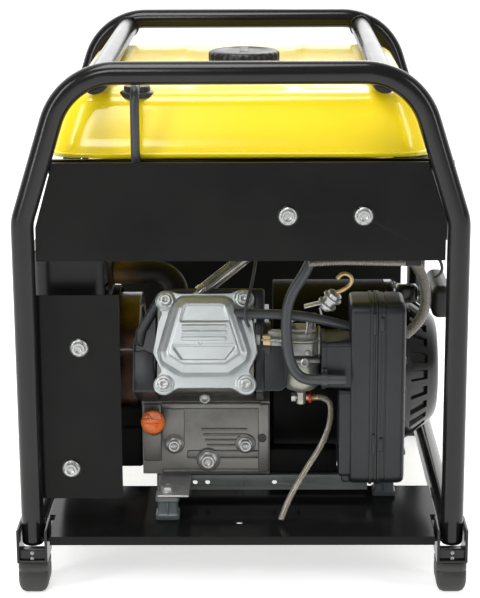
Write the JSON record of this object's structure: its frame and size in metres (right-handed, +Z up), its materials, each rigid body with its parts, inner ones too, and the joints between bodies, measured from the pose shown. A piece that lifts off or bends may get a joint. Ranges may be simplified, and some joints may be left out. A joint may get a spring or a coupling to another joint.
{
  "type": "portable generator",
  "caption": "Open-frame portable generator with a tilted overhead-valve engine, recoil starter, alternator, yellow fuel tank and side control panel in a black tube frame.",
  "frame": {"origin": "centre of the footprint, on the ground under the four rubber feet", "axes": "+Z up, +X towards the recoil starter and the control panel, -Y towards the valve cover and the air cleaner's side of the frame"},
  "size_m": [0.4496, 0.518, 0.5291],
  "materials": {
    "frame_black": "gloss powder coat",
    "plate_black": "gloss powder coat",
    "foot_rubber": "moulded",
    "mount_rubber": "moulded",
    "zinc": "zinc plated",
    "beam_zinc": "zinc plated",
    "cast_aluminium": "as cast",
    "cover_aluminium": "satin painted casting",
    "bowl_metal": "as cast",
    "machined_steel": "machined",
    "piston_aluminium": "machined",
    "flywheel_iron": "cast",
    "shroud_grey": "satin paint",
    "recoil_black": "gloss paint",
    "air_box_plastic": "moulded",
    "filter_foam": "open foam",
    "grip_plastic": "moulded",
    "rope_fabric": "braided",
    "core_steel": "laminated",
    "copper": "enamelled wire",
    "inverter_aluminium": "die cast",
    "exhaust_steel": "heat tinted",
    "muffler_black": "heat-proof paint",
    "panel_plastic": "moulded",
    "button_red": "moulded",
    "tank_yellow": "gloss paint",
    "cap_black": "moulded",
    "dipstick_orange": "moulded",
    "hose_rubber": "moulded",
    "clear_tube": "clear vinyl",
    "loom_sleeve": "corrugated sleeve",
    "plug_ceramic": "glazed ceramic"
  },
  "bodies": {
    "frame": {"air_box_base": "air_box_plastic", "air_filter": "filter_foam", "alternator_housing": "recoil_black", "base_rails": "frame_black", "blower_housing": "recoil_black", "bolts": "zinc", "breather_hose": "hose_rubber", "carburettor": "cast_aluminium", "charcoal_canister": "panel_plastic", "control_panel": "panel_plastic", "crankcase": "cast_aluminium", "cylinder_head": "cast_aluminium", "cylinder_shroud": "shroud_grey", "drain_tube": "clear_tube", "engine_subframe": "beam_zinc", "exhaust_pipe": "exhaust_steel", "float_bowl": "bowl_metal", "foot_brackets": "frame_black", "front_cross_plate": "plate_black", "front_hoop": "frame_black", "front_tray": "plate_black", "fuel_tank": "tank_yellow", "intake_duct": "air_box_plastic", "inverter_module": "inverter_aluminium", "left_shield": "plate_black", "mount_straps": "zinc", "muffler": "muffler_black", "outlets": "panel_plastic", "piston": "piston_aluminium", "rear_cross_plate": "plate_black", "rear_hoop": "frame_black", "rear_tray": "plate_black", "recoil_cover": "recoil_black", "rubber_feet": "foot_rubber", "rubber_mounts": "mount_rubber", "spark_plug": "plug_ceramic", "spark_plug_cap": "grip_plastic", "stator_core": "core_steel", "stator_windings": "copper", "top_rails": "frame_black", "valve_cover": "cover_aluminium", "vapour_hoses": "hose_rubber", "wiring_looms": "loom_sleeve"},
    "crank": {"crankshaft": "machined_steel", "flywheel": "flywheel_iron", "rotor": "core_steel"},
    "cam": {"camshaft": "machined_steel"},
    "con_rod": {"connecting_rod": "machined_steel"},
    "pull": {"starter_grip": "grip_plastic", "starter_rope": "rope_fabric"},
    "pulley": {"starter_pulley": "grip_plastic"},
    "filler_cap": {"fuel_cap": "cap_black"},
    "dipstick": {"oil_dipstick": "dipstick_orange"},
    "throttle": {"throttle_lever": "machined_steel"},
    "choke": {"choke_lever": "machined_steel"},
    "bowl_screw": {"drain_screw": "zinc"},
    "air_cover": {"air_box_cover": "air_box_plastic"},
    "rocker": {"run_switch": "grip_plastic"},
    "dial": {"engine_knob": "grip_plastic"},
    "breaker": {"breaker_button": "button_red"}
  },
  "joints": [
    {"name": "crank_spin", "type": "hinge", "parent": "frame", "child": "crank", "pos_m": [0, -0.052, 0.176], "axis": [1, 0, 0], "continuous": true},
    {"name": "cam_spin", "type": "hinge", "parent": "frame", "child": "cam", "pos_m": [0, -0.0249, 0.1398], "axis": [1, 0, 0], "continuous": true},
    {"name": "rod_swing", "type": "hinge", "parent": "crank", "child": "con_rod", "pos_m": [-0.036, -0.07284, 0.18572], "axis": [1, 0, 0], "continuous": true},
    {"name": "starter_pull", "type": "slide", "parent": "frame", "child": "pull", "axis": [1, 0, 0], "range_m": [0, 0.45], "stiffness_N_per_m": 20, "deforming": ["starter_rope"]},
    {"name": "pulley_spin", "type": "hinge", "parent": "frame", "child": "pulley", "pos_m": [0, -0.052, 0.176], "axis": [1, 0, 0], "range_deg": [0, 710]},
    {"name": "fuel_cap_turn", "type": "hinge", "parent": "frame", "child": "filler_cap", "pos_m": [0.002, 0, 0.5], "axis": [0, 0, 1], "range_deg": [0, 360]},
    {"name": "dipstick_pull", "type": "slide", "parent": "frame", "child": "dipstick", "axis": [0, -0.9063, 0.4226], "range_m": [0, 0.07]},
    {"name": "throttle_turn", "type": "hinge", "parent": "frame", "child": "throttle", "pos_m": [0.049, -0.168, 0.262], "axis": [0, 0, 1], "range_deg": [-75, 0]},
    {"name": "choke_turn", "type": "hinge", "parent": "frame", "child": "choke", "pos_m": [0.07, -0.168, 0.262], "axis": [0, 0, 1], "range_deg": [0, 75]},
    {"name": "drain_screw_turn", "type": "hinge", "parent": "frame", "child": "bowl_screw", "pos_m": [0.052, -0.168, 0.177], "axis": [1, 0, 0], "range_deg": [0, 360]},
    {"name": "air_cover_pull", "type": "slide", "parent": "frame", "child": "air_cover", "axis": [1, 0, 0], "range_m": [0, 0.05]},
    {"name": "run_switch_rock", "type": "hinge", "parent": "frame", "child": "rocker", "pos_m": [0.21027, -0.132, 0.38133], "axis": [0, 1, 0], "range_deg": [-24, 0]},
    {"name": "engine_dial_turn", "type": "hinge", "parent": "frame", "child": "dial", "pos_m": [0.21618, -0.082, 0.38238], "axis": [0.9848, 0, 0.1736], "range_deg": [0, 90]},
    {"name": "breaker_press", "type": "slide", "parent": "frame", "child": "breaker", "axis": [-0.9848, 0, -0.1736], "range_m": [0, 0.003]}
  ],
  "couplings": [
    {"joint": "cam_spin", "follows": "crank_spin", "ratio": -0.5},
    {"joint": "rod_swing", "follows": "crank_spin", "ratio": -1},
    {"joint": "pulley_spin", "follows": "starter_pull", "rad_per_m": 27.4}
  ]
}
